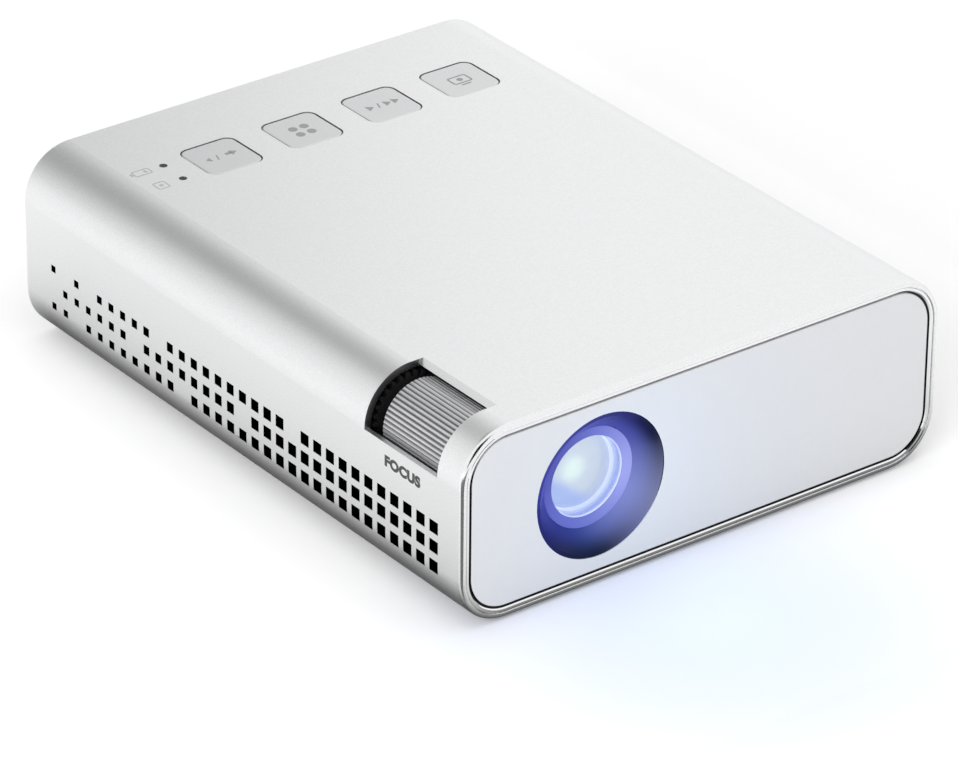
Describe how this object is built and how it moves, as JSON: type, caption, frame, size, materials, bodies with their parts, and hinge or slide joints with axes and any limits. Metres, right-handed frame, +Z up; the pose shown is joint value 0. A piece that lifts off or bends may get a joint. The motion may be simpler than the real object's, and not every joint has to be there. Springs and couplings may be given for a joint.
{
  "type": "palm-size projector",
  "caption": "Flat rounded box projector with a recessed round lens in the front, a ribbed focus wheel in one top corner, push keys on top and vent holes in both sides.",
  "frame": {"origin": "centre of the footprint, on the surface that the four feet stand on", "axes": "+Z up, the lens looks along -Y, +X to the right seen from the front"},
  "size_m": [0.1226, 0.155, 0.0441],
  "materials": {
    "case_aluminium": "bead-blasted satin",
    "bright_trim": "polished",
    "dark_seal": "matt",
    "glossy_panel": "glossy",
    "black_plastic": "matt",
    "hood_plastic": "satin, dark blue",
    "dark_screen": "fine mesh",
    "foot_rubber": "matt",
    "screw_steel": "black oxide",
    "insert_brass": "machined",
    "tray_plastic": "moulded",
    "key_aluminium": "bead-blasted satin",
    "wheel_plastic": "satin, ribbed",
    "gear_plastic": "moulded",
    "shaft_steel": "ground",
    "lens_glass": "coated",
    "clear_lens": "clear",
    "engine_magnesium": "dark cast metal",
    "mirror_coat": "front surface",
    "board_green": "solder mask",
    "chip_black": "moulded",
    "lamp_base": "ceramic",
    "heat_copper": "bare metal",
    "fin_aluminium": "bare",
    "fan_plastic": "moulded",
    "cone_paper": "pressed",
    "magnet_steel": "plated",
    "cell_foil": "foil",
    "port_steel": "plated"
  },
  "bodies": {
    "case": {"outer_sleeve": "case_aluminium", "front_ring": "bright_trim", "front_gasket": "dark_seal", "front_panel": "glossy_panel", "front_frame": "black_plastic", "lens_hood": "hood_plastic", "vent_screens": "dark_screen", "rubber_feet": "foot_rubber", "case_screws": "screw_steel", "chassis_tray": "tray_plastic", "tripod_insert": "insert_brass", "key_frame": "black_plastic", "key_board": "board_green", "key_board_parts": "chip_black", "indicator_lenses": "clear_lens", "wheel_bracket": "black_plastic", "lens_barrel": "black_plastic", "rear_lens": "lens_glass", "light_engine_housing": "engine_magnesium", "light_engine_cover": "engine_magnesium", "led_modules": "lamp_base", "collimator_lenses": "clear_lens", "fold_mirrors": "mirror_coat", "integrator_lens": "clear_lens", "relay_lens": "clear_lens", "prism": "clear_lens", "image_chip_board": "board_green", "heat_spreaders": "fin_aluminium", "heat_pipe": "heat_copper", "heat_sink": "fin_aluminium", "fan_housing": "fan_plastic", "fan_cover": "fan_plastic", "speaker_frame": "black_plastic", "speaker_cone": "cone_paper", "speaker_magnet": "magnet_steel", "battery_holder": "tray_plastic", "battery_cells": "cell_foil", "main_board": "board_green", "driver_board": "board_green", "board_parts": "chip_black", "hdmi_socket": "port_steel", "usb_socket": "port_steel", "audio_socket": "black_plastic", "power_inlet": "black_plastic", "power_switch": "black_plastic", "rear_panel": "black_plastic", "internal_screws": "screw_steel"},
    "focus_wheel": {"focus_wheel": "wheel_plastic", "wheel_gear": "gear_plastic", "wheel_shaft": "shaft_steel"},
    "focus_ring": {"focus_ring": "gear_plastic"},
    "lens_group": {"lens_cell": "black_plastic", "front_lens": "lens_glass", "cam_pins": "shaft_steel"},
    "key_back": {"key_back": "key_aluminium"},
    "key_menu": {"key_menu": "key_aluminium"},
    "key_play": {"key_play": "key_aluminium"},
    "key_source": {"key_source": "key_aluminium"},
    "fan_rotor": {"fan_rotor": "fan_plastic"},
    "power_slider": {"power_slider": "black_plastic"}
  },
  "joints": [
    {"name": "focus_wheel_turn", "type": "hinge", "parent": "case", "child": "focus_wheel", "pos_m": [-0.04995, -0.05745, 0.0327], "axis": [0, 1, 0], "range_deg": [-108, 108]},
    {"name": "focus_ring_turn", "type": "hinge", "parent": "case", "child": "focus_ring", "pos_m": [-0.02643, -0.0595, 0.0225], "axis": [0, 1, 0], "range_deg": [-54, 54]},
    {"name": "lens_slide", "type": "slide", "parent": "case", "child": "lens_group", "axis": [0, 1, 0], "range_m": [-0.0006, 0.0006]},
    {"name": "key_back_press", "type": "slide", "parent": "case", "child": "key_back", "axis": [0, 0, -1], "range_m": [0, 0.0004], "stiffness_N_per_m": 1500, "springref_m": -0.0005},
    {"name": "key_menu_press", "type": "slide", "parent": "case", "child": "key_menu", "axis": [0, 0, -1], "range_m": [0, 0.0004], "stiffness_N_per_m": 1500, "springref_m": -0.0005},
    {"name": "key_play_press", "type": "slide", "parent": "case", "child": "key_play", "axis": [0, 0, -1], "range_m": [0, 0.0004], "stiffness_N_per_m": 1500, "springref_m": -0.0005},
    {"name": "key_source_press", "type": "slide", "parent": "case", "child": "key_source", "axis": [0, 0, -1], "range_m": [0, 0.0004], "stiffness_N_per_m": 1500, "springref_m": -0.0005},
    {"name": "fan_spin", "type": "hinge", "parent": "case", "child": "fan_rotor", "pos_m": [0.0301, -0.0435, 0.0126], "axis": [0, 0, 1], "continuous": true},
    {"name": "power_slide", "type": "slide", "parent": "case", "child": "power_slider", "axis": [1, 0, 0], "range_m": [0, 0.003]}
  ],
  "couplings": [
    {"joint": "focus_wheel_turn", "follows": "lens_slide", "rad_per_m": 2900},
    {"joint": "focus_ring_turn", "follows": "lens_slide", "rad_per_m": -1450}
  ]
}
